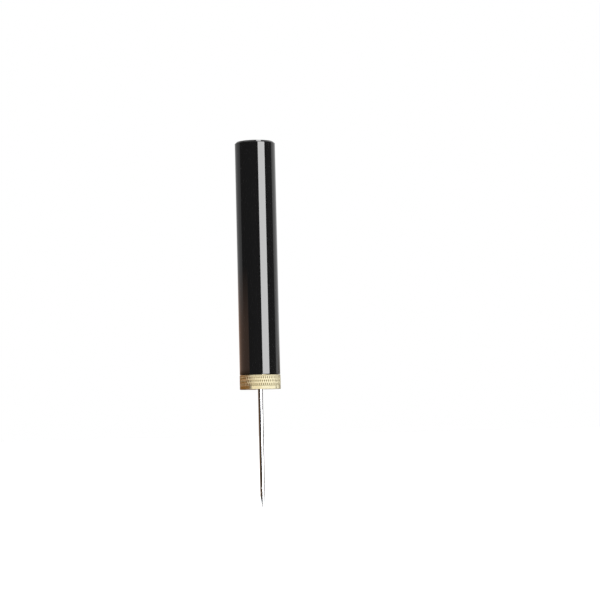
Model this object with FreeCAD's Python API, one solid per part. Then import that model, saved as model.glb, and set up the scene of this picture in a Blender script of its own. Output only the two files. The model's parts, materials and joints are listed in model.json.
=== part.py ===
# Hand-pumped air-pressure wine opener, as an assembly of separate pieces, in millimetres.
#
# The tool is a slim pump with a hollow needle. The needle is pushed through the cork, the black handle
# is drawn up and pushed down, and each stroke sends air through the needle until the cork rises.
#
# Frame: +Z runs up the tool's axis, from the needle to the handle's cap. The origin is on the axis, on
# the flat underside where the needle comes out. The handle is closed, the valve shut and the collar tight.

import FreeCAD, Part
import math
import os

Vector = FreeCAD.Vector
AXIS = Vector(0, 0, 1)
ORIGIN = Vector(0, 0, 0)

# ---------------------------------------------------------------- driving dimensions

HANDLE_TOP = 129.0          # cap's top face above the underside
SLEEVE_R = 10.5             # black sleeve, outside
SLEEVE_WALL = 0.9
CAP_BAND = 1.0              # height of the cap's rim above the sleeve
CAP_CHAMFER = 0.9           # 45 degree chamfer round the cap's rim

COLLAR_R = 10.6             # gold collar, outside
COLLAR_H = 7.5
COLLAR_LIP = 1.6            # thickness of the lip that carries the needle hub
KNURL_LOW = 2.1             # lower edge of the knurled band
KNURL_HIGH = 6.9            # upper edge of the knurled band
CLOSED_GAP = 0.15           # between the closed sleeve and the collar

NEEDLE_R = 1.25
NEEDLE_BORE_R = 0.6
NEEDLE_REACH = 62.0         # from the underside to the point
NEEDLE_TAPER = 7.0          # length of the tapered end
NEEDLE_TIP_R = 0.08
OUTLET_R = 0.45             # air holes near the point

BARREL_R = 8.5              # pump barrel, outside
BARREL_WALL = 0.9
ROD_R = 2.5
STROKE_ROOM = 81.8          # piston travel from closed to the upstroke bumper

RUNNING = 0.05              # radial clearance of sliding and turning fits
SEATED = 0.02               # gap between faces that are pressed together

# ---------------------------------------------------------------- stations along the axis

sleeve_low = COLLAR_H + CLOSED_GAP
sleeve_high = HANDLE_TOP - CAP_BAND
sleeve_bore_r = SLEEVE_R - SLEEVE_WALL
barrel_bore_r = BARREL_R - BARREL_WALL

# needle hub, gasket and base body, stacked on the collar's lip
HUB_BOSS_R = 6.1
HUB_FLANGE_R = 8.5
SHANK_R = 1.6               # needle's thicker end, inside the hub
hub_flange_low = COLLAR_LIP + RUNNING
hub_high = hub_flange_low + 1.85
shank_high = hub_high - 0.4
GASKET_T = 0.8
gasket_high = hub_high + GASKET_T - SEATED
base_low = hub_high + GASKET_T
base_high = base_low + 10.9
THREAD_R = 8.6              # outside of the base's thread
COLLAR_BORE_R = 8.75
O_RING_R = 0.63             # half the O-ring's thickness
GROOVE_R = 6.3              # bottom of the O-ring's groove
GROOVE_W = 1.6
groove_low = sleeve_low + 2.5

# check valve, on the axis of the base body
BALL_R = 2.0
CHAMBER_R = 2.35
SEAT_R = 3.0
SEAT_HOLE_R = 1.2
SEAT_T = 1.8
recess_low = base_high - 2.2
RECESS_R = 3.6
seat_low = recess_low - SEAT_T
SEAT_CONE = 0.7             # depth and width of the 45 degree seat
cone_high = seat_low + SEAT_CONE
contact = BALL_R / math.sqrt(2)
ball_z = cone_high + SEAT_HOLE_R - 2 * contact - SEATED
RETAINER_T = 1.2
retainer_low = base_low + 0.1
retainer_high = retainer_low + RETAINER_T
SPRING_WIRE_R = 0.15
SPRING_R = 1.35
SPRING_TURNS = 4

# piston, hanging from the rod just above the base body
PISTON_GAP = 0.4
SCREW_HEAD_R = 2.8
SCREW_HEAD_H = 1.6
SCREW_R = 1.5
LOCK_WASHER_T = 0.7
RETAINER_WASHER_T = 1.0
SEAL_H = 3.8
SPIGOT_R = 5.0
PISTON_FLANGE_H = 4.0
PISTON_R = 7.3
washer_low = base_high + PISTON_GAP
washer_high = washer_low + RETAINER_WASHER_T
spigot_high = washer_high + SEAL_H
piston_high = spigot_high + PISTON_FLANGE_H
rod_low = spigot_high + 0.2

# barrel head, bumpers and cap at the top
BUMPER_T = 1.8
BUMPER_R = 4.5
HEAD_PLUG = 9.0
HEAD_FLANGE = 1.5
BUSH_R = 3.4
head_low = piston_high + STROKE_ROOM + BUMPER_T
barrel_high = head_low + HEAD_PLUG
head_high = barrel_high + HEAD_FLANGE
closing_high = head_high + BUMPER_T
NUT_T = 2.7
NUT_FLATS = 8.0
nut_low = closing_high + 0.1
nut_high = nut_low + NUT_T
CAP_TOP_T = 1.5
CAP_SKIRT_T = 1.2
CAP_BOSS_R = 4.6
skirt_low = nut_low + 0.2
rod_high = HANDLE_TOP - CAP_TOP_T - 0.6

GUIDE_H = 8.0
guide_low = sleeve_low + 0.4


# ---------------------------------------------------------------- shaping helpers

def turned(*outline):
    """Solid of revolution about the tool's axis from an outline of (radius, height) corners."""
    corners = [Vector(r, 0, z) for r, z in outline]
    wire = Part.makePolygon(corners + corners[:1])
    return Part.Face(wire).revolve(ORIGIN, AXIS, 360)


def ring(inner, outer, low, high, bevel=0.0):
    """Plain ring or tube, with its four edges bevelled if asked. An inner radius of 0 gives a disc."""
    if inner == 0:
        return turned((0, low), (outer - bevel, low), (outer, low + bevel),
                      (outer, high - bevel), (outer - bevel, high), (0, high))
    if bevel == 0:
        return turned((inner, low), (outer, low), (outer, high), (inner, high))
    return turned((inner + bevel, low), (outer - bevel, low), (outer, low + bevel),
                  (outer, high - bevel), (outer - bevel, high), (inner + bevel, high),
                  (inner, high - bevel), (inner, low + bevel))


def rod(radius, low, high, at=(0, 0)):
    """Upright cylinder, used to cut holes."""
    return Part.makeCylinder(radius, high - low, Vector(at[0], at[1], low), AXIS)


def around(shape, count):
    """Copies of a shape spaced evenly round the axis."""
    turns = []
    for i in range(count):
        copy = shape.copy()
        copy.rotate(ORIGIN, AXIS, 360.0 * i / count)
        turns.append(copy)
    return turns


def cut(shape, tools):
    """Shape with every tool taken away."""
    for tool in tools:
        shape = shape.cut(tool)
    return shape


def circle_edges(shape, radius, height):
    """Circular edges of a given radius at a given height."""
    found = []
    for edge in shape.Edges:
        curve = edge.Curve
        if not isinstance(curve, Part.Circle):
            continue
        if abs(curve.Radius - radius) < 0.01 and abs(curve.Center.z - height) < 0.01:
            found.append(edge)
    return found


# ---------------------------------------------------------------- handle

def handle_sleeve():
    """Thin tube, open at both ends, with its lower outside edge eased."""
    tube = ring(sleeve_bore_r, SLEEVE_R, sleeve_low, sleeve_high)
    return tube.makeChamfer(0.25, circle_edges(tube, SLEEVE_R, sleeve_low))


def top_cap():
    """Cup pushed into the sleeve, with a rim as wide as the sleeve and a boss for the rod."""
    skirt_r = sleeve_bore_r - CAP_SKIRT_T
    under = HANDLE_TOP - CAP_TOP_T
    cup = turned((0, HANDLE_TOP), (SLEEVE_R, HANDLE_TOP), (SLEEVE_R, sleeve_high),
                 (sleeve_bore_r, sleeve_high), (sleeve_bore_r, skirt_low), (skirt_r, skirt_low),
                 (skirt_r, under), (CAP_BOSS_R, under), (CAP_BOSS_R, nut_high), (0, nut_high))
    cup = cup.makeChamfer(CAP_CHAMFER, circle_edges(cup, SLEEVE_R, HANDLE_TOP))
    return cut(cup, [rod(ROD_R, nut_high, rod_high)])


def guide_ring():
    """Bearing ring in the sleeve's mouth, with flutes that let the handle breathe."""
    bore_r = BARREL_R + RUNNING
    plain = ring(bore_r, sleeve_bore_r, guide_low, guide_low + GUIDE_H, 0.2)
    flute = rod(0.5, guide_low, guide_low + GUIDE_H, (bore_r, 0))
    return cut(plain, around(flute, 6))


def piston_rod():
    """Steel rod, bevelled at its ends, with a tapped hole for the piston screw."""
    plain = ring(0, ROD_R, rod_low, rod_high, 0.3)
    return cut(plain, [rod(SCREW_R, rod_low, rod_low + 11.0)])


def rod_lock_nut():
    """Thin hexagon nut with its corners turned down on both faces."""
    corner_r = NUT_FLATS / math.sqrt(3)
    corners = [Vector(corner_r * math.cos(math.radians(a)), corner_r * math.sin(math.radians(a)), nut_low)
               for a in range(0, 421, 60)]
    prism = Part.Face(Part.makePolygon(corners[:7])).extrude(AXIS * NUT_T)
    ease = 0.35
    envelope = turned((0, nut_low), (corner_r - ease, nut_low), (corner_r + 0.05, nut_low + ease),
                      (corner_r + 0.05, nut_high - ease), (corner_r - ease, nut_high), (0, nut_high))
    return cut(prism.common(envelope), [rod(ROD_R, nut_low, nut_high)])


# ---------------------------------------------------------------- piston

def piston_head():
    """Flanged head: the rod stands in its socket, and the U-cup sits on its spigot."""
    socket_r = ROD_R + SEATED
    hole_r = SCREW_R + RUNNING
    return turned((hole_r, washer_high), (SPIGOT_R, washer_high), (SPIGOT_R, spigot_high),
                  (PISTON_R, spigot_high), (PISTON_R, piston_high - 0.4), (PISTON_R - 0.4, piston_high),
                  (socket_r, piston_high), (socket_r, rod_low), (hole_r, rod_low))


def piston_seal():
    """Rubber U-cup, its two lips pointing down towards the compressed air."""
    inner = SPIGOT_R + RUNNING
    outer = barrel_bore_r - 0.03
    low = washer_high + RUNNING
    high = spigot_high - RUNNING
    groove_top = low + 2.1
    return turned((inner, low), (inner + 0.6, low), (inner + 0.9, groove_top), (outer - 0.9, groove_top),
                  (outer - 0.4, low), (outer, low + 0.5), (outer - 0.15, groove_top),
                  (outer - 0.15, high - 0.3), (outer - 0.45, high), (inner, high))


def seal_retainer():
    """Flat washer that keeps the U-cup on the spigot."""
    return ring(SCREW_R + RUNNING, 6.4, washer_low, washer_high, 0.1)


def piston_lock_washer():
    """Split spring washer under the screw's head."""
    low = washer_low - LOCK_WASHER_T
    plain = ring(SCREW_R + RUNNING, SCREW_HEAD_R, low, washer_low)
    split = Part.makeBox(2.0, 0.5, LOCK_WASHER_T, Vector(1.2, -0.25, low))
    return cut(plain, [split])


def piston_screw():
    """Pan-head screw, driven from below, with a cross recess."""
    head_high = washer_low - LOCK_WASHER_T
    head_low = head_high - SCREW_HEAD_H
    shank_r = SCREW_R - RUNNING
    screw = turned((0, head_low), (SCREW_HEAD_R - 0.6, head_low), (SCREW_HEAD_R, head_low + 0.6),
                   (SCREW_HEAD_R, head_high), (shank_r, head_high), (shank_r, rod_low + 9.5),
                   (shank_r - 0.4, rod_low + 10.0), (0, rod_low + 10.0))
    slot = Part.makeBox(2.8, 0.5, 0.9, Vector(-1.4, -0.25, head_low))
    return cut(screw, around(slot, 4)[:2])


# ---------------------------------------------------------------- barrel and its head

def barrel():
    """Thin tube that the handle slides over, bevelled at its ends."""
    return ring(barrel_bore_r, BARREL_R, sleeve_low, barrel_high, 0.15)


def barrel_head():
    """Plug in the barrel's top: it carries the rod's bush, and four holes let air in and out."""
    plug_r = barrel_bore_r - SEATED
    plug = turned((BUSH_R, head_low), (plug_r - 0.3, head_low), (plug_r, head_low + 0.3),
                  (plug_r, barrel_high), (BARREL_R, barrel_high), (BARREL_R, head_high - 0.3),
                  (BARREL_R - 0.3, head_high), (BUSH_R, head_high))
    vent = rod(0.8, head_low, head_high, (5.7, 0))
    return cut(plug, around(vent, 4))


def rod_bush():
    """Plain bearing for the piston rod."""
    return ring(ROD_R + RUNNING, BUSH_R, head_low, head_high, 0.12)


def bumper(low):
    """Rubber washer round the rod, narrow enough to leave the head's vents open."""
    return ring(ROD_R + 0.3, BUMPER_R, low, low + BUMPER_T, 0.3)


# ---------------------------------------------------------------- base body and check valve

def base_body():
    """Plug in the barrel's lower end: thread below, O-ring groove above, valve chamber on the axis."""
    plug_r = barrel_bore_r - SEATED
    blank = turned((0, base_low), (THREAD_R - 0.4, base_low), (THREAD_R, base_low + 0.4),
                   (THREAD_R, sleeve_low), (plug_r, sleeve_low), (plug_r, base_high - 0.4),
                   (plug_r - 0.4, base_high), (0, base_high))
    groove = ring(GROOVE_R, plug_r + 1.0, groove_low, groove_low + GROOVE_W)
    return cut(blank, [groove,
                       rod(RECESS_R, recess_low, base_high),
                       rod(SEAT_R, seat_low, recess_low),
                       rod(CHAMBER_R, retainer_high, seat_low),
                       rod(SEAT_R, base_low, retainer_high)])


def base_o_ring():
    """O-ring that seals the base body in the barrel."""
    return Part.makeTorus(GROOVE_R + SEATED + O_RING_R, O_RING_R,
                          Vector(0, 0, groove_low + GROOVE_W / 2), AXIS)


def valve_seat():
    """Pressed-in seat: the ball closes its 45 degree cone from below."""
    return turned((SEAT_HOLE_R, cone_high), (SEAT_HOLE_R + SEAT_CONE, seat_low), (SEAT_R, seat_low),
                  (SEAT_R, recess_low), (SEAT_HOLE_R, recess_low))


def valve_ball():
    """Steel ball, held up against the seat by the spring."""
    return Part.makeSphere(BALL_R, Vector(0, 0, ball_z))


def valve_retainer():
    """Ring screwed in under the spring, with the air's way out through its middle."""
    return ring(1.0, SEAT_R, retainer_low, retainer_high, 0.1)


def valve_spring():
    """Small compression spring between the retainer and the ball."""
    low = retainer_high + SPRING_WIRE_R + SEATED
    reach = BALL_R + SPRING_WIRE_R + SEATED
    high = ball_z - math.sqrt(reach ** 2 - SPRING_R ** 2)
    height = high - low
    helix = Part.makeHelix(height / SPRING_TURNS, height, SPRING_R)
    helix.translate(Vector(0, 0, low))
    start = Part.Circle(Vector(SPRING_R, 0, low), Vector(0, 1, 0), SPRING_WIRE_R)
    section = Part.Wire(start.toShape())
    return Part.Wire(helix.Edges).makePipeShell([section], True, True)


# ---------------------------------------------------------------- collar, hub and needle

def knurled_collar():
    """Screwed collar: a lip below carries the hub, and two fine grooves bound the knurled band."""
    groove = 0.3
    depth = 0.1
    ease = 0.2
    lip_hole_r = HUB_BOSS_R + 0.1
    return turned((lip_hole_r, 0), (COLLAR_R - ease, 0), (COLLAR_R, ease),
                  (COLLAR_R, KNURL_LOW - groove), (COLLAR_R - depth, KNURL_LOW - groove / 2),
                  (COLLAR_R, KNURL_LOW), (COLLAR_R, KNURL_HIGH),
                  (COLLAR_R - depth, KNURL_HIGH + groove / 2), (COLLAR_R, KNURL_HIGH + groove),
                  (COLLAR_R, COLLAR_H - ease), (COLLAR_R - ease, COLLAR_H), (COLLAR_BORE_R, COLLAR_H),
                  (COLLAR_BORE_R, COLLAR_LIP), (lip_hole_r, COLLAR_LIP))


def needle_hub():
    """Stepped disc: its boss fills the collar's lip, and a shoulder takes the needle's thrust."""
    ease = 0.15
    return turned((SHANK_R, 0), (HUB_BOSS_R - ease, 0), (HUB_BOSS_R, ease), (HUB_BOSS_R, hub_flange_low),
                  (HUB_FLANGE_R, hub_flange_low), (HUB_FLANGE_R, hub_high), (0.9, hub_high),
                  (0.9, shank_high), (SHANK_R, shank_high))


def hub_gasket():
    """Soft washer between the hub and the base body."""
    return ring(2.2, 8.0, hub_high, gasket_high)


def needle():
    """Hollow needle with a solid tapered point and two cross holes for the air."""
    taper_top = NEEDLE_TAPER - NEEDLE_REACH
    body = turned((0, -NEEDLE_REACH), (NEEDLE_TIP_R, -NEEDLE_REACH),
                  (NEEDLE_R * 0.62, taper_top - NEEDLE_TAPER * 0.45), (NEEDLE_R, taper_top), (NEEDLE_R, 0),
                  (SHANK_R, 0), (SHANK_R, shank_high), (0, shank_high))
    bore_low = taper_top + 0.6
    outlet_1 = Part.makeCylinder(OUTLET_R, 2 * NEEDLE_R + 1, Vector(-NEEDLE_R - 0.5, 0, bore_low + 0.9),
                                 Vector(1, 0, 0))
    outlet_2 = Part.makeCylinder(OUTLET_R, 2 * NEEDLE_R + 1, Vector(0, -NEEDLE_R - 0.5, bore_low + 3.4),
                                 Vector(0, 1, 0))
    return cut(body, [rod(NEEDLE_BORE_R, bore_low, shank_high), outlet_1, outlet_2])


# ---------------------------------------------------------------- every node of the assembly

def nodes():
    """Each node's name and solid, from the handle down to the needle."""
    return {
        "handle_sleeve": handle_sleeve(),
        "top_cap": top_cap(),
        "guide_ring": guide_ring(),
        "piston_rod": piston_rod(),
        "rod_lock_nut": rod_lock_nut(),
        "piston_head": piston_head(),
        "piston_seal": piston_seal(),
        "seal_retainer": seal_retainer(),
        "piston_lock_washer": piston_lock_washer(),
        "piston_screw": piston_screw(),
        "barrel": barrel(),
        "barrel_head": barrel_head(),
        "rod_bush": rod_bush(),
        "upstroke_bumper": bumper(head_low - BUMPER_T),
        "closing_bumper": bumper(head_high),
        "base_body": base_body(),
        "base_o_ring": base_o_ring(),
        "valve_seat": valve_seat(),
        "valve_ball": valve_ball(),
        "valve_spring": valve_spring(),
        "valve_retainer": valve_retainer(),
        "knurled_collar": knurled_collar(),
        "needle_hub": needle_hub(),
        "hub_gasket": hub_gasket(),
        "needle": needle(),
    }


def main():
    os.makedirs("parts", exist_ok=True)
    for name, shape in nodes().items():
        if not shape.isValid() or shape.Volume <= 0:
            raise ValueError(name + " is not a valid solid")
        shape.exportStep("parts/" + name + ".step")
        print(name, "solids", len(shape.Solids), "volume", round(shape.Volume, 1))


main()
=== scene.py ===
import json
import math

import bpy
from mathutils import Matrix, Vector

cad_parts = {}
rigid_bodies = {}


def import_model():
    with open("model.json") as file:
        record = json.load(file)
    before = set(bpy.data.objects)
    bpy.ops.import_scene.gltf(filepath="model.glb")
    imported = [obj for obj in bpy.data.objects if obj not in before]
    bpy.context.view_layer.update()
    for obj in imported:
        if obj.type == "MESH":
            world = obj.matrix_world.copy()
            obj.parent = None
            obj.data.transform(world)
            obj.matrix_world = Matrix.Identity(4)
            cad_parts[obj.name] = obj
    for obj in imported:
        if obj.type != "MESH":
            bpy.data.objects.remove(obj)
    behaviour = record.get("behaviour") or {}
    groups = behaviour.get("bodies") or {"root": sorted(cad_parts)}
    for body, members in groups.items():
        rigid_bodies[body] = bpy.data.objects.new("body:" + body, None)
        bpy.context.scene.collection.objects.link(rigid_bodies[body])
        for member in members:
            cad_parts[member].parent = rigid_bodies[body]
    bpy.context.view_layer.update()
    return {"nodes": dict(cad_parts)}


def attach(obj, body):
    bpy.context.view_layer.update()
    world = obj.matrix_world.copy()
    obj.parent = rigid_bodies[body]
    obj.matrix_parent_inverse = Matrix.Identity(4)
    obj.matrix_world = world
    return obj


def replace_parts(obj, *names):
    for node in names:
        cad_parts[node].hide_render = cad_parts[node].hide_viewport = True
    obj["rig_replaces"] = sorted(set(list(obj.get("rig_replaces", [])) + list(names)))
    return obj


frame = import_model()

# Looks for the hand-pumped air-pressure wine opener. Lengths are in millimetres unless a name says metres.
# +Z runs up the tool's axis, and the origin is where the needle leaves the collar's underside.

MM = 0.001

# ---------------------------------------------------------------- dimensions shared with the CAD pieces

HANDLE_TOP = 129.0
SLEEVE_HIGH = 128.0
SLEEVE_LOW = 7.65
SLEEVE_R = 10.5
SLEEVE_BORE_R = 9.6
CAP_CHAMFER = 0.9
CAP_SKIRT_R = 8.4
CAP_SKIRT_LOW = 120.6
CAP_BOSS_R = 4.6
CAP_BOSS_LOW = 123.1
CAP_UNDER = 127.5
CAP_HOLE_TOP = 126.9
ROD_R = 2.5

BARREL_R = 8.5
BARREL_BORE_R = 7.6
BARREL_HIGH = 117.0

GUIDE_LOW = 8.05
GUIDE_HIGH = 16.05
GUIDE_BORE_R = 8.55
GUIDE_BEVEL = 0.2
GUIDE_FLUTES = 6
GUIDE_FLUTE_R = 0.5

COLLAR_R = 10.6
COLLAR_HIGH = 7.5
COLLAR_LIP = 1.6
COLLAR_BORE_R = 8.75
COLLAR_LIP_R = 6.2
KNURL_LOW = 2.1
KNURL_HIGH = 6.9
COLLAR_EASE = 0.2           # chamfer of the collar's outer edges
COLLAR_GROOVE_W = 0.3       # fine groove above and below the knurl
COLLAR_GROOVE_DEPTH = 0.1

THREAD_R = 8.6
THREAD_PITCH = 0.75
THREAD_DEPTH = 0.42
THREAD_STEP = 0.05          # height between the rings of points that form the thread
BASE_LOW = 4.3
BASE_HIGH = 15.2
BASE_BEVEL = 0.4
GROOVE_LOW = 10.15          # O-ring groove
GROOVE_HIGH = 11.75
GROOVE_R = 6.3
RECESS_R = 3.6              # recess above the valve seat
RECESS_LOW = 13.0
SEAT_R = 3.0
SEAT_LOW = 11.2
CHAMBER_R = 2.35            # valve chamber
CHAMBER_LOW = 5.6

HUB_BOSS_R = 6.1
HUB_FLANGE_R = 8.5
HUB_FLANGE_LOW = 1.65
HUB_HIGH = 3.5
HUB_HOLE_R = 0.9
SHANK_R = 1.6
SHANK_HIGH = 3.1

NEEDLE_R = 1.25
NEEDLE_REACH = 62.0
NEEDLE_TAPER = 7.0
NEEDLE_POINT_R = 0.12       # radius where the taper ends and the blunt tip begins
NEEDLE_POINT_H = 0.25       # height of the blunt tip
NEEDLE_CURVE = 1.45         # 1 is a straight taper, and more is a fuller one
NEEDLE_BORE_R = 0.6
OUTLET_R = 0.45             # air holes near the point
OUTLET_HEIGHTS = (0.9, 3.4)  # above the bottom of the bore, along X and along Y

KNURLS_ROUND = 60
KNURL_ROW = 1.74            # height between rows of pits
KNURL_DEPTH = 0.13
KNURL_MIDDLE = 4.32         # height of the middle row of pits
KNURL_FLAT = 0.25           # half the width of a diamond's flat top, as a share of the pitch
KNURL_SLOPE = 0.1875        # width of a groove's side, as a share of the pitch
PIT_SLOPE = 0.0625          # width of a pit's side, as a share of the pitch
GROOVE_SHARE = 0.45         # depth of a groove, as a share of a pit's

# ---------------------------------------------------------------- camera, as in the photograph

CAMERA_DISTANCE = 1000.0
CAMERA_HEIGHT = -14.7
CAMERA_PITCH = 3.47         # degrees up
CAMERA_YAW = 1.24           # degrees to the right
CAMERA_ROLL = -1.366        # degrees
CAMERA_LENS = 115.6         # on a 36 mm sensor

# ---------------------------------------------------------------- stage

FLOOR_LEVEL = -NEEDLE_REACH - 1.0
CARD_LEVEL = -NEEDLE_REACH - 0.5    # reflected sheet over the floor
LAMP_LEVEL = -NEEDLE_REACH - 0.3    # light over that sheet
STUDIO_R = 900
STUDIO_HIGH = 1500
SOFTBOX_DISTANCE = 620
CARD_R = 60                         # palm and grey cards, close to the tool


# ---------------------------------------------------------------- meshes

def mesh_object(name, vertices, faces, crease=32):
    """Mesh from points in millimetres, smooth except at edges sharper than crease degrees."""
    mesh = bpy.data.meshes.new(name)
    mesh.from_pydata([Vector(v) * MM for v in vertices], [], faces)
    mesh.validate()
    mesh.update()
    mesh.shade_smooth()
    mesh.set_sharp_from_angle(angle=math.radians(crease))
    piece = bpy.data.objects.new(name, mesh)
    bpy.context.scene.collection.objects.link(piece)
    return piece


def plain_radius(radius, height, angle):
    """Wall of a round body, the same all the way round."""
    return radius


def lathe(name, outline, segments=192, radius_at=plain_radius, crease=32):
    """Body turned from an outline of (radius, height) corners, taken anticlockwise with the axis at its left.

    Corners on the axis become one point. radius_at can shape the wall with the angle round the axis.
    """
    vertices = []
    radii = []
    rings = []
    for radius, height in outline:
        if radius < 1e-6:
            rings.append([len(vertices)] * segments)
            vertices.append((0, 0, height))
            radii.append(0)
            continue
        first = len(vertices)
        for i in range(segments):
            angle = 2 * math.pi * i / segments
            r = radius_at(radius, height, angle)
            vertices.append((r * math.cos(angle), r * math.sin(angle), height))
            radii.append(r)
        rings.append(list(range(first, first + segments)))
    faces = []
    for k in range(len(rings)):
        low, high = rings[k], rings[(k + 1) % len(rings)]
        for i in range(segments):
            j = (i + 1) % segments
            faces += quad_or_triangles(low[i], low[j], high[j], high[i], radii)
    return mesh_object(name, vertices, faces, crease)


def quad_or_triangles(a, b, c, d, radii):
    """One face through four points, or two where their radii differ, split along the flatter diagonal."""
    corners = [v for k, v in enumerate((a, b, c, d)) if v not in (a, b, c, d)[:k]]
    if len(corners) < 3:
        return []
    twist = abs(radii[a] + radii[c] - radii[b] - radii[d])
    if len(corners) == 3 or twist < 1e-6:
        return [corners]
    if abs(radii[a] - radii[c]) < abs(radii[b] - radii[d]):
        return [(a, b, c), (a, c, d)]
    return [(a, b, d), (b, c, d)]


def eased(outline, size, steps=3):
    """Outline with every corner off the axis rounded by up to size, or by 30% of its shorter side.

    A further point beside each rounding keeps the shading of the straight walls straight.
    """
    most = 0.3
    beside = 1.3
    rounded = []
    count = len(outline)
    for k, corner in enumerate(outline):
        here = Vector(corner)
        before = Vector(outline[k - 1])
        after = Vector(outline[(k + 1) % count])
        if here.x < 1e-6:
            rounded.append(tuple(here))
            continue
        back = before - here
        ahead = after - here
        reach = min(size, most * back.length, most * ahead.length)
        hold = beside * reach
        start = here + back.normalized() * reach
        end = here + ahead.normalized() * reach
        rounded.append(tuple(here + back.normalized() * hold))
        for i in range(steps + 1):
            t = i / steps
            rounded.append(tuple(start * (1 - t) ** 2 + here * 2 * t * (1 - t) + end * t ** 2))
        rounded.append(tuple(here + ahead.normalized() * hold))
    return rounded


def ramp(value, low, high):
    """0 below low, 1 above high, and even between them."""
    return min(1.0, max(0.0, (value - low) / (high - low)))


def stacked(low, high, step):
    """Heights from low to high, evenly spaced and no further apart than step."""
    count = max(1, math.ceil((high - low) / step))
    return [low + (high - low) * i / count for i in range(count + 1)]


def fit_out(piece, node, body, material):
    """Piece takes the place of a CAD node, moves with its body and gets its material."""
    piece.data.materials.clear()
    piece.data.materials.append(material)
    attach(piece, body)
    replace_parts(piece, node)


# ---------------------------------------------------------------- materials

def new_material(name):
    """Empty material, with its node tree, its shader and the object's own coordinates."""
    material = bpy.data.materials.new(name)
    material.use_nodes = True
    tree = material.node_tree
    shader = tree.nodes["Principled BSDF"]
    coords = tree.nodes.new("ShaderNodeTexCoord")
    return material, tree, shader, coords.outputs["Object"]


def noise(tree, coords, scale, detail=4.0, stretch=(1, 1, 1)):
    """Noise value over the object's own coordinates, in cycles per metre."""
    mapping = tree.nodes.new("ShaderNodeMapping")
    mapping.inputs["Scale"].default_value = stretch
    tree.links.new(coords, mapping.inputs["Vector"])
    texture = tree.nodes.new("ShaderNodeTexNoise")
    texture.inputs["Scale"].default_value = scale
    texture.inputs["Detail"].default_value = detail
    tree.links.new(mapping.outputs["Vector"], texture.inputs["Vector"])
    return texture.outputs["Fac"]


def between(tree, value, low, high, from_low=0.3, from_high=0.7):
    """Value mapped to the range low to high."""
    node = tree.nodes.new("ShaderNodeMapRange")
    node.inputs["From Min"].default_value = from_low
    node.inputs["From Max"].default_value = from_high
    node.inputs["To Min"].default_value = low
    node.inputs["To Max"].default_value = high
    tree.links.new(value, node.inputs["Value"])
    return node.outputs["Result"]


def mixed(tree, factor, first, second):
    """Colour between first and second."""
    node = tree.nodes.new("ShaderNodeMix")
    node.data_type = "RGBA"
    node.inputs["A"].default_value = (*first, 1)
    node.inputs["B"].default_value = (*second, 1)
    tree.links.new(factor, node.inputs["Factor"])
    return node.outputs["Result"]


def bumped(tree, shader, height, strength, distance):
    """Bump from a height value; distance is in metres."""
    node = tree.nodes.new("ShaderNodeBump")
    node.inputs["Strength"].default_value = strength
    node.inputs["Distance"].default_value = distance
    tree.links.new(height, node.inputs["Height"])
    tree.links.new(node.outputs["Normal"], shader.inputs["Normal"])


def turned_lines(tree, coords, per_metre):
    """Fine rings round the axis, as a tool leaves them, uneven from ring to ring."""
    return noise(tree, coords, per_metre, 3.0, (0.02, 0.02, 1.0))


def black_lacquer():
    """Deep black gloss lacquer: a clear coat with faint wiping marks in its colour and polish."""
    material, tree, shader, coords = new_material("black_lacquer")
    smears = noise(tree, coords, 55, 6.0, (1.0, 1.0, 0.35))
    tree.links.new(mixed(tree, smears, (0.0015, 0.0015, 0.0017), (0.0028, 0.0027, 0.0027)),
                   shader.inputs["Base Color"])
    tree.links.new(between(tree, smears, 0.32, 0.42), shader.inputs["Roughness"])
    shader.inputs["Specular IOR Level"].default_value = 0.0
    shader.inputs["Coat Weight"].default_value = 1.0
    shader.inputs["Coat Roughness"].default_value = 0.025
    shader.inputs["Coat IOR"].default_value = 1.5
    return material


def metal(name, dark, light, rough_low, rough_high, line_scale, line_depth, cloud_scale=160):
    """Turned metal: colour and polish vary a little in clouds, with fine tool rings in the surface."""
    material, tree, shader, coords = new_material(name)
    clouds = noise(tree, coords, cloud_scale, 5.0)
    lines = turned_lines(tree, coords, line_scale)
    tree.links.new(mixed(tree, clouds, dark, light), shader.inputs["Base Color"])
    tree.links.new(between(tree, lines, rough_low, rough_high), shader.inputs["Roughness"])
    shader.inputs["Metallic"].default_value = 1.0
    bumped(tree, shader, lines, 0.5, line_depth)
    return material


def gold():
    """Pale gold plating, with painted shade: a dark brown tint deep in the knurl's pits."""
    material = metal("gold", (0.83, 0.75, 0.50), (0.90, 0.83, 0.57), 0.16, 0.26, 5200, 0.000012)
    tree = material.node_tree
    shader = tree.nodes["Principled BSDF"]
    coords = tree.nodes["Texture Coordinate"].outputs["Object"]
    flat = tree.nodes.new("ShaderNodeVectorMath")
    flat.operation = "MULTIPLY"
    flat.inputs[1].default_value = (1, 1, 0)
    tree.links.new(coords, flat.inputs[0])
    radius = tree.nodes.new("ShaderNodeVectorMath")
    radius.operation = "LENGTH"
    tree.links.new(flat.outputs["Vector"], radius.inputs[0])
    # Painted shade: below these radii, deep in the knurl's pits, the plating is mixed towards dark brown.
    painted_shade_full_r = (COLLAR_R - 0.65 * KNURL_DEPTH) * MM
    painted_shade_clear_r = (COLLAR_R - 0.48 * KNURL_DEPTH) * MM
    height = between(tree, radius.outputs["Value"], 0.0, 1.0, painted_shade_full_r, painted_shade_clear_r)
    plating = shader.inputs["Base Color"].links[0].from_socket
    node = tree.nodes.new("ShaderNodeMix")
    node.data_type = "RGBA"
    # Colour of the painted shade in the pits.
    node.inputs["A"].default_value = (0.13, 0.07, 0.018, 1)
    tree.links.new(height, node.inputs["Factor"])
    tree.links.new(plating, node.inputs["B"])
    tree.links.new(node.outputs["Result"], shader.inputs["Base Color"])
    return material


def polished_steel():
    return metal("polished_steel", (0.40, 0.40, 0.41), (0.50, 0.50, 0.51), 0.14, 0.22, 6000, 0.000006)


def bright_steel():
    return metal("bright_steel", (0.50, 0.51, 0.53), (0.60, 0.61, 0.63), 0.25, 0.38, 4000, 0.00001)


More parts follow.
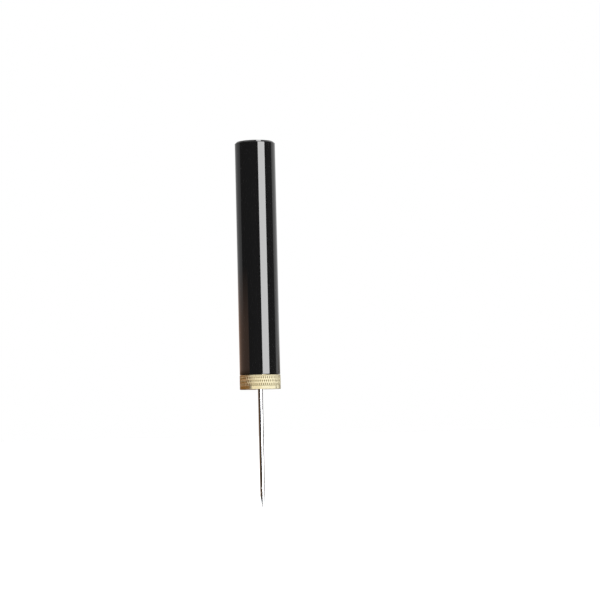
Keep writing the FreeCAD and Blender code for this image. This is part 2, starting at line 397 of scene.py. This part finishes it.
def turned_aluminium():
    return metal("turned_aluminium", (0.70, 0.71, 0.72), (0.80, 0.81, 0.82), 0.28, 0.4, 4200, 0.00001)


def turned_brass():
    return metal("brass_turned", (0.66, 0.48, 0.22), (0.76, 0.58, 0.30), 0.22, 0.34, 4200, 0.00001)


def sintered_bronze():
    return metal("bronze", (0.42, 0.27, 0.14), (0.55, 0.38, 0.21), 0.4, 0.55, 3000, 0.00001, 2500)


def bearing_plastic():
    """Natural white bearing plastic, slightly waxy."""
    material, tree, shader, coords = new_material("bearing_plastic")
    clouds = noise(tree, coords, 300, 4.0)
    tree.links.new(mixed(tree, clouds, (0.72, 0.71, 0.67), (0.80, 0.79, 0.75)), shader.inputs["Base Color"])
    tree.links.new(between(tree, clouds, 0.4, 0.5), shader.inputs["Roughness"])
    bumped(tree, shader, noise(tree, coords, 5000, 2.0), 0.2, 0.00001)
    return material


def rubber(name, dark, light):
    """Moulded rubber with a fine matt grain."""
    material, tree, shader, coords = new_material(name)
    clouds = noise(tree, coords, 400, 4.0)
    tree.links.new(mixed(tree, clouds, dark, light), shader.inputs["Base Color"])
    tree.links.new(between(tree, clouds, 0.6, 0.75), shader.inputs["Roughness"])
    bumped(tree, shader, noise(tree, coords, 9000, 3.0), 0.3, 0.00001)
    return material


def black_rubber():
    return rubber("black_rubber", (0.018, 0.018, 0.019), (0.032, 0.032, 0.033))


def red_rubber():
    return rubber("red_rubber", (0.34, 0.06, 0.04), (0.42, 0.085, 0.06))


# ---------------------------------------------------------------- pieces that show, in fine detail

def handle_sleeve():
    """Black tube, with a small chamfer at its foot."""
    outline = eased([(SLEEVE_BORE_R, SLEEVE_LOW), (SLEEVE_R - 0.2, SLEEVE_LOW), (SLEEVE_R, SLEEVE_LOW + 0.2),
                     (SLEEVE_R, SLEEVE_HIGH), (SLEEVE_BORE_R, SLEEVE_HIGH)], 0.07)
    return lathe("sleeve_shell", outline, 256)


def top_cap():
    """Black end cap: a chamfered top, a skirt in the sleeve and a boss for the rod."""
    outline = [(0, CAP_HOLE_TOP), (ROD_R, CAP_HOLE_TOP), (ROD_R, CAP_BOSS_LOW), (CAP_BOSS_R, CAP_BOSS_LOW),
               (CAP_BOSS_R, CAP_UNDER), (CAP_SKIRT_R, CAP_UNDER), (CAP_SKIRT_R, CAP_SKIRT_LOW),
               (SLEEVE_BORE_R, CAP_SKIRT_LOW), (SLEEVE_BORE_R, SLEEVE_HIGH), (SLEEVE_R, SLEEVE_HIGH),
               (SLEEVE_R, HANDLE_TOP - CAP_CHAMFER), (SLEEVE_R - CAP_CHAMFER, HANDLE_TOP), (0, HANDLE_TOP)]
    return lathe("cap_shell", eased(outline, 0.08), 256, crease=24)


def guide_ring():
    """Bearing ring with half-round flutes in its bore."""
    spacing = 360 / GUIDE_FLUTES
    bevel = GUIDE_BEVEL

    def radius_at(radius, height, angle):
        if radius > GUIDE_BORE_R + GUIDE_FLUTE_R / 2:
            return radius
        turn = (math.degrees(angle) + spacing / 2) % spacing - spacing / 2
        across = math.radians(turn) * GUIDE_BORE_R
        depth = math.sqrt(max(0.0, GUIDE_FLUTE_R ** 2 - across ** 2))
        return radius + depth
    outline = [(GUIDE_BORE_R, GUIDE_LOW + bevel), (GUIDE_BORE_R + bevel, GUIDE_LOW),
               (SLEEVE_BORE_R - bevel, GUIDE_LOW), (SLEEVE_BORE_R, GUIDE_LOW + bevel),
               (SLEEVE_BORE_R, GUIDE_HIGH - bevel), (SLEEVE_BORE_R - bevel, GUIDE_HIGH),
               (GUIDE_BORE_R + bevel, GUIDE_HIGH), (GUIDE_BORE_R, GUIDE_HIGH - bevel)]
    return lathe("guide_shell", outline, 720, radius_at)


def barrel():
    """Thin pump tube under the sleeve, seen when the handle is up."""
    outline = eased([(BARREL_BORE_R, SLEEVE_LOW), (BARREL_R, SLEEVE_LOW),
                     (BARREL_R, BARREL_HIGH), (BARREL_BORE_R, BARREL_HIGH)], 0.15)
    return lathe("barrel_tube", outline, 256)


def base_body():
    """Base plug with a real screw thread below; the plug above it is hidden in the barrel."""
    def radius_at(radius, height, angle):
        if radius < THREAD_R - 0.02:
            return radius
        phase = (height / THREAD_PITCH - angle / (2 * math.pi)) % 1.0
        valley = max(0.0, 1.0 - 2.6 * abs(phase - 0.5))
        run_out = min(1.0, (SLEEVE_LOW - 0.35 - height) / 0.4, (height - BASE_LOW) / 0.5)
        return radius - THREAD_DEPTH * valley * max(0.0, run_out)
    plug_r = BARREL_BORE_R - 0.02
    bevel = BASE_BEVEL
    outline = [(SEAT_R, BASE_LOW), (THREAD_R - bevel, BASE_LOW)]
    outline += [(THREAD_R, z) for z in stacked(BASE_LOW + bevel, SLEEVE_LOW - 0.1, THREAD_STEP)]
    outline += [(THREAD_R - 0.1, SLEEVE_LOW), (plug_r, SLEEVE_LOW), (plug_r, GROOVE_LOW),
                (GROOVE_R, GROOVE_LOW), (GROOVE_R, GROOVE_HIGH), (plug_r, GROOVE_HIGH),
                (plug_r, BASE_HIGH - bevel), (plug_r - bevel, BASE_HIGH), (RECESS_R, BASE_HIGH),
                (RECESS_R, RECESS_LOW), (SEAT_R, RECESS_LOW), (SEAT_R, SEAT_LOW), (CHAMBER_R, SEAT_LOW),
                (CHAMBER_R, CHAMBER_LOW), (SEAT_R, CHAMBER_LOW)]
    return lathe("base_plug", outline, 160, radius_at)


def knurl_cut(height, angle):
    """Depth of the knurl, from 0 on a diamond's flat top to 1 in the pit where two grooves cross."""
    across = angle * KNURLS_ROUND / (2 * math.pi)
    up = (height - KNURL_MIDDLE) / (2 * KNURL_ROW)
    first = abs((across + up) % 1.0 - 0.5)
    second = abs((across - up) % 1.0 - 0.5)
    groove = ramp(max(first, second), KNURL_FLAT, KNURL_FLAT + KNURL_SLOPE)
    crossing = ramp(min(first, second), KNURL_FLAT, KNURL_FLAT + PIT_SLOPE)
    return GROOVE_SHARE * groove + (1 - GROOVE_SHARE) * crossing


def knurled_collar():
    """Screwed collar: diamond knurl between two fine grooves, plain bands above and below."""
    low = KNURL_LOW
    high = KNURL_HIGH

    def radius_at(radius, height, angle):
        if radius < COLLAR_R - 0.01 or height < low + 0.03 or height > high - 0.03:
            return radius
        edge = min(1.0, (height - low) / 0.12, (high - height) / 0.12)
        return radius - KNURL_DEPTH * knurl_cut(height, angle) * edge
    ease = COLLAR_EASE
    groove = COLLAR_GROOVE_W
    groove_r = COLLAR_R - COLLAR_GROOVE_DEPTH
    lower = eased([(COLLAR_BORE_R, COLLAR_LIP), (COLLAR_LIP_R, COLLAR_LIP), (COLLAR_LIP_R, 0),
                   (COLLAR_R - ease, 0), (COLLAR_R, ease), (COLLAR_R, low - groove),
                   (groove_r, low - groove / 2)], 0.05)
    upper = eased([(groove_r, high + groove / 2), (COLLAR_R, high + groove),
                   (COLLAR_R, COLLAR_HIGH - ease), (COLLAR_R - ease, COLLAR_HIGH),
                   (COLLAR_BORE_R, COLLAR_HIGH)], 0.05)
    # Rings of points lie where the knurl's slopes begin and end, so that its edges stay straight.
    step = KNURL_ROW / 8
    first = math.ceil((low - KNURL_MIDDLE) / step + 0.3)
    last = math.floor((high - KNURL_MIDDLE) / step - 0.3)
    band = [(COLLAR_R, low)] + [(COLLAR_R, KNURL_MIDDLE + k * step) for k in range(first, last + 1)]
    band += [(COLLAR_R, high)]
    return lathe("collar_ring", lower + band + upper, KNURLS_ROUND * 16, radius_at, crease=30)


def needle_hub():
    """Flanged disc round the needle's shank, flush with the collar's underside."""
    outline = eased([(SHANK_R, 0), (HUB_BOSS_R - 0.1, 0), (HUB_BOSS_R, 0.1), (HUB_BOSS_R, HUB_FLANGE_LOW),
                     (HUB_FLANGE_R, HUB_FLANGE_LOW), (HUB_FLANGE_R, HUB_HIGH), (HUB_HOLE_R, HUB_HIGH),
                     (HUB_HOLE_R, SHANK_HIGH), (SHANK_R, SHANK_HIGH)], 0.05)
    return lathe("hub_disc", outline, 192)


def needle():
    """Hollow needle with a solid point; its two pairs of air holes are cut through the wall."""
    taper_top = NEEDLE_TAPER - NEEDLE_REACH
    taper_low = NEEDLE_POINT_H - NEEDLE_REACH
    bore_low = taper_top + NEEDLE_BORE_R
    outline = [(0, -NEEDLE_REACH), (0.05, -NEEDLE_REACH + 0.03), (NEEDLE_POINT_R, taper_low)]
    steps = 16
    for i in range(1, steps):
        t = i / steps
        fullness = 1 - (1 - t) ** NEEDLE_CURVE
        radius = NEEDLE_POINT_R + (NEEDLE_R - NEEDLE_POINT_R) * fullness
        outline.append((radius, taper_low + (taper_top - taper_low) * t))
    outline += [(NEEDLE_R, taper_top)]
    outline += [(NEEDLE_R, z) for z in stacked(taper_top + 0.2, 0, 0.5)]
    outline += [(SHANK_R, 0), (SHANK_R, SHANK_HIGH), (NEEDLE_BORE_R, SHANK_HIGH),
                (NEEDLE_BORE_R, bore_low), (0, bore_low)]
    tube = lathe("needle_tube", outline, 96)
    for axis, height in zip("XY", OUTLET_HEIGHTS):
        drill_across(tube, OUTLET_R, bore_low + height, axis)
    return tube


def drill_across(piece, radius, height, axis):
    """Round hole straight through a slim piece, along X or Y, at a height on its axis."""
    steps = 32
    far_end = 3.0
    vertices = []
    for end in (-far_end, far_end):
        for i in range(steps):
            angle = 2 * math.pi * i / steps
            side = radius * math.cos(angle)
            up = height + radius * math.sin(angle)
            vertices.append((end, side, up) if axis == "X" else (-side, end, up))
    faces = [(i, (i + 1) % steps, steps + (i + 1) % steps, steps + i) for i in range(steps)]
    faces += [tuple(reversed(range(steps))), tuple(range(steps, 2 * steps))]
    drill = mesh_object("drill", vertices, faces)
    hole = piece.modifiers.new("hole", "BOOLEAN")
    hole.operation = "DIFFERENCE"
    hole.solver = "EXACT"
    hole.object = drill
    solid = bpy.data.meshes.new_from_object(piece.evaluated_get(bpy.context.evaluated_depsgraph_get()))
    piece.modifiers.clear()
    piece.data = solid
    solid.set_sharp_from_angle(angle=math.radians(32))
    bpy.data.objects.remove(drill)


MATERIAL_SLOTS = {
    "handle_sleeve": "black_lacquer", "top_cap": "black_lacquer", "guide_ring": "bearing_plastic",
    "piston_rod": "polished_steel", "rod_lock_nut": "bright_steel", "piston_head": "turned_aluminium",
    "piston_seal": "black_rubber", "seal_retainer": "bright_steel", "piston_lock_washer": "bright_steel",
    "piston_screw": "bright_steel", "barrel": "polished_steel", "barrel_head": "turned_aluminium",
    "rod_bush": "bronze", "upstroke_bumper": "black_rubber", "closing_bumper": "black_rubber",
    "base_body": "brass_turned", "base_o_ring": "black_rubber", "valve_seat": "brass_turned",
    "valve_ball": "polished_steel", "valve_spring": "bright_steel", "valve_retainer": "brass_turned",
    "knurled_collar": "gold", "needle_hub": "polished_steel", "hub_gasket": "red_rubber",
    "needle": "polished_steel",
}


def dress_tool():
    """Materials on every CAD node, and the finer shells over the nodes that show."""
    materials = {
        "black_lacquer": black_lacquer(), "gold": gold(), "polished_steel": polished_steel(),
        "bright_steel": bright_steel(), "turned_aluminium": turned_aluminium(),
        "brass_turned": turned_brass(), "bronze": sintered_bronze(),
        "bearing_plastic": bearing_plastic(), "black_rubber": black_rubber(), "red_rubber": red_rubber(),
    }
    for node, slot in MATERIAL_SLOTS.items():
        data = frame["nodes"][node].data
        data.materials.clear()
        data.materials.append(materials[slot])
    shells = [
        (handle_sleeve(), "handle_sleeve", "handle"), (top_cap(), "top_cap", "handle"),
        (guide_ring(), "guide_ring", "handle"), (barrel(), "barrel", "pump"),
        (base_body(), "base_body", "pump"), (knurled_collar(), "knurled_collar", "collar"),
        (needle_hub(), "needle_hub", "needle_unit"), (needle(), "needle", "needle_unit"),
    ]
    for piece, node, body in shells:
        fit_out(piece, node, body, materials[MATERIAL_SLOTS[node]])


# ---------------------------------------------------------------- stage, light and camera

def floor():
    """Plain pale floor just under the needle's point."""
    size = 4000
    corners = [(-size, -size, FLOOR_LEVEL), (size, -size, FLOOR_LEVEL),
               (size, size, FLOOR_LEVEL), (-size, size, FLOOR_LEVEL)]
    plane = mesh_object("floor", corners, [(0, 1, 2, 3)])
    material, tree, shader, coords = new_material("floor_white")
    shader.inputs["Base Color"].default_value = (0.9, 0.9, 0.9, 1)
    shader.inputs["Roughness"].default_value = 0.6
    shader.inputs["Specular IOR Level"].default_value = 0.0
    shader.inputs["Emission Color"].default_value = (1, 1, 1, 1)
    shader.inputs["Emission Strength"].default_value = 0.3
    plane.data.materials.append(material)
    return plane


def reflected_sheet(name, look_at, rows, first_bearing, last_bearing):
    """Curved sheet round the tool through rows of (radius, height). Only reflections see it.

    look_at gives its light, and how solid it is, at a bearing, radius and height.
    """
    columns = 90
    vertices = []
    looks = []
    for radius, height in rows:
        for i in range(columns + 1):
            bearing = first_bearing + (last_bearing - first_bearing) * i / columns
            vertices.append(on_bearing(bearing, radius, height))
            looks.append(look_at(bearing, radius, height))
    wide = columns + 1
    faces = [(k * wide + i, k * wide + i + 1, (k + 1) * wide + i + 1, (k + 1) * wide + i)
             for k in range(len(rows) - 1) for i in range(columns)]
    sheet = mesh_object(name, vertices, faces)
    tint = sheet.data.color_attributes.new("tint", "FLOAT_COLOR", "POINT")
    for point, (color, solid) in zip(tint.data, looks):
        point.color = (*color, solid)
    material, tree, shader, coords = new_material(name)
    attribute = tree.nodes.new("ShaderNodeVertexColor")
    attribute.layer_name = "tint"
    tree.links.new(attribute.outputs["Color"], shader.inputs["Emission Color"])
    tree.links.new(attribute.outputs["Alpha"], shader.inputs["Alpha"])
    shader.inputs["Base Color"].default_value = (0.0, 0.0, 0.0, 1)
    shader.inputs["Specular IOR Level"].default_value = 0.0
    shader.inputs["Emission Strength"].default_value = 1.0
    sheet.data.materials.append(material)
    sheet.visible_camera = False
    sheet.visible_diffuse = False
    sheet.visible_shadow = False
    return sheet


def surroundings():
    """The dark studio round the camera keeps the tube black, and the cards stand in for the hand.

    Returns the sheet over the floor. Its bright sector carries the softbox's stripe on, for a camera above.
    """
    dark = Vector((0.13, 0.13, 0.13))
    shaded = Vector((0.60, 0.60, 0.60))
    bright = Vector((1, 1, 1))
    amber = Vector((0.20, 0.095, 0.022))
    skin = Vector((0.74, 0.48, 0.36))
    grey = Vector((0.42, 0.39, 0.34))
    lamp = Vector((13, 13, 13))

    def studio(bearing, radius, height):
        if bearing < -97:
            return shaded, 1.0
        return (dark if bearing < 108 else bright), 1.0

    def lit_ground(bearing, radius, height):
        color, solid = studio(bearing, radius, height)
        if 16 <= bearing <= 55 and radius < SOFTBOX_DISTANCE + 20:
            return lamp, 1.0
        if -165 <= bearing <= -140:
            return color.lerp(lamp * 0.5, 1 - ramp(radius, 100, 700)), 1.0
        return color, 1.0

    def palm(bearing, radius, height):
        return amber.lerp(skin, ramp(height, 8, 12)), 1 - ramp(height, 34, 68)

    def shade(bearing, radius, height):
        return grey, 1 - ramp(height, 8, 34)
    card_rows = [(CARD_R, z) for z in stacked(-60, 70, 2)]
    ground_radii = (2, 100, 200, 300, 400, 500, 600, 635, 645, 700, STUDIO_R)
    ground_rows = [(r, CARD_LEVEL) for r in ground_radii]
    reflected_sheet("dark_studio", studio, [(STUDIO_R, CARD_LEVEL), (STUDIO_R, STUDIO_HIGH)], -180, 180)
    reflected_sheet("palm_card", palm, card_rows, -178, -56)
    reflected_sheet("grey_card", shade, card_rows, 118, 165)
    return reflected_sheet("ground_card", lit_ground, ground_rows, -180, 180)


def area_light(name, at, target, width, height, power, color=(1, 1, 1), only=None):
    """Softbox of a given size in millimetres, facing a target point. Only can limit what it lights."""
    data = bpy.data.lights.new(name, "AREA")
    data.shape = "RECTANGLE"
    data.size = width * MM
    data.size_y = height * MM
    data.energy = power
    data.color = color
    light = bpy.data.objects.new(name, data)
    light.location = Vector(at) * MM
    direction = (Vector(target) - Vector(at)).normalized()
    light.rotation_euler = direction.to_track_quat("-Z", "Y").to_euler()
    bpy.context.scene.collection.objects.link(light)
    if only is not None:
        light.light_linking.receiver_collection = only
    light.visible_camera = False


def on_bearing(bearing, distance, height):
    """Point at a bearing in degrees to the right of the camera's side."""
    angle = math.radians(bearing)
    return (distance * math.sin(angle), -distance * math.cos(angle), height)


def collection_of(name, node_names):
    """Collection of the CAD nodes named and of the shells that stand for them."""
    group = bpy.data.collections.new(name)
    for piece in bpy.data.objects:
        nodes = set(piece.get("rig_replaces", [])) | {piece.name}
        if piece.type == "MESH" and nodes & set(node_names):
            group.objects.link(piece)
    return group


def lights(stage_floor, ground_card):
    """A tall softbox makes the tube's stripe, a small one the glint above, and three light the collar alone.

    The cap is left out of the stripe's softbox, because its flat top would mirror it from behind.
    """
    collar = "knurled_collar"
    gold_pieces = collection_of("gold_pieces", [collar])
    others = collection_of("other_pieces", [n for n in MATERIAL_SLOTS if n != collar])
    others.objects.link(stage_floor)
    sides = collection_of("side_pieces", [n for n in MATERIAL_SLOTS if n not in (collar, "top_cap")])
    sides.objects.link(stage_floor)
    ground_card.light_linking.receiver_collection = others
    away = SOFTBOX_DISTANCE
    area_light("stripe_softbox", on_bearing(35.5, away, 20), (0, 0, 20), 439, 480, 8.64, only=sides)
    area_light("top_softbox", (127, 128, 870), (127, 128, 0), 150, 300, 1.0)
    area_light("collar_ground", (0, 0, LAMP_LEVEL), (0, 0, 0), 3000, 3000, 31.0, only=gold_pieces)
    area_light("collar_key", on_bearing(52, away, 40), (0, 0, 4), 1300, 900, 3.4, only=gold_pieces)
    area_light("collar_fill", on_bearing(-22, away, 40), (0, 0, 4), 660, 700, 1.15, (1, 0.92, 0.78),
               only=gold_pieces)


def world():
    """Plain white background, shown with its colours unchanged."""
    scene = bpy.context.scene
    scene.world = bpy.data.worlds.new("studio")
    scene.world.use_nodes = True
    background = scene.world.node_tree.nodes["Background"]
    background.inputs["Color"].default_value = (1.0, 1.0, 1.0, 1)
    background.inputs["Strength"].default_value = 1.0
    scene.view_settings.view_transform = "Standard"
    scene.view_settings.look = "None"


def camera():
    """Camera below the tool's middle, looking slightly up, with the photograph's slight tilt."""
    pitch = math.radians(CAMERA_PITCH)
    yaw = math.radians(CAMERA_YAW)
    roll = math.radians(CAMERA_ROLL)
    forward = Vector((math.sin(yaw) * math.cos(pitch), math.cos(yaw) * math.cos(pitch), math.sin(pitch)))
    level = Vector((math.cos(yaw), -math.sin(yaw), 0))
    upright = level.cross(forward)
    right = level * math.cos(roll) + upright * math.sin(roll)
    up = upright * math.cos(roll) - level * math.sin(roll)
    data = bpy.data.cameras.new("camera")
    data.lens = CAMERA_LENS
    data.sensor_width = 36
    eye = bpy.data.objects.new("camera", data)
    axes = Matrix((right, up, -forward)).transposed().to_4x4()
    eye.matrix_world = Matrix.Translation(Vector((0, -CAMERA_DISTANCE, CAMERA_HEIGHT)) * MM) @ axes
    bpy.context.scene.collection.objects.link(eye)
    bpy.context.scene.camera = eye


dress_tool()
stage_floor = floor()
ground_card = surroundings()
lights(stage_floor, ground_card)
world()
camera()
